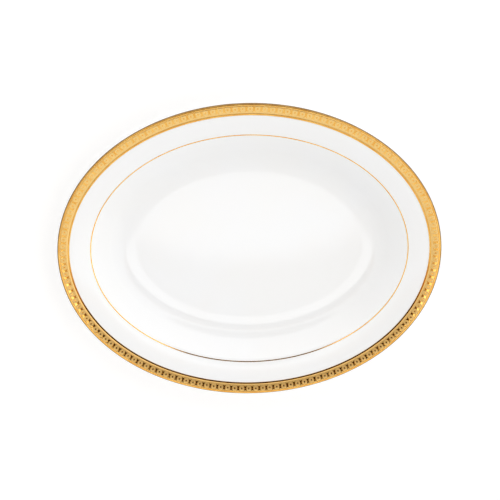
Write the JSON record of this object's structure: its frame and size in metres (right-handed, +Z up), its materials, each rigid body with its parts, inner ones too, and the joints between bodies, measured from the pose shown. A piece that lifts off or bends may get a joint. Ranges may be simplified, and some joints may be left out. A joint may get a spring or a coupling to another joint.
{
  "type": "serving platter",
  "caption": "Oval porcelain serving platter: sloping rim edged with an etched gold border, a fine gold line at the verge, a flat-floored well and an oval foot ring.",
  "frame": {"origin": "middle of the plane that the foot ring rests on", "axes": "+X along the length of the platter, +Y across it, +Z up out of the well"},
  "size_m": [0.356, 0.28, 0.0345],
  "materials": {
    "biscuit_porcelain": "bare fired porcelain, fine and matt, seen only on the foot",
    "white_glaze": "clear glossy glaze over white porcelain",
    "burnished_gold": "fired gold burnished to a mirror",
    "etched_gold": "fired gold over acid-etched glaze, matt and softly bright"
  },
  "bodies": {
    "root": {"porcelain_body": "biscuit_porcelain", "main_glaze": "white_glaze", "recess_glaze": "white_glaze", "gold_lip": "burnished_gold", "etched_gold_ground": "etched_gold", "burnished_crosses": "burnished_gold", "burnished_diamonds": "burnished_gold", "gold_inner_line": "burnished_gold", "gold_verge_line": "burnished_gold"}
  },
  "joints": []
}
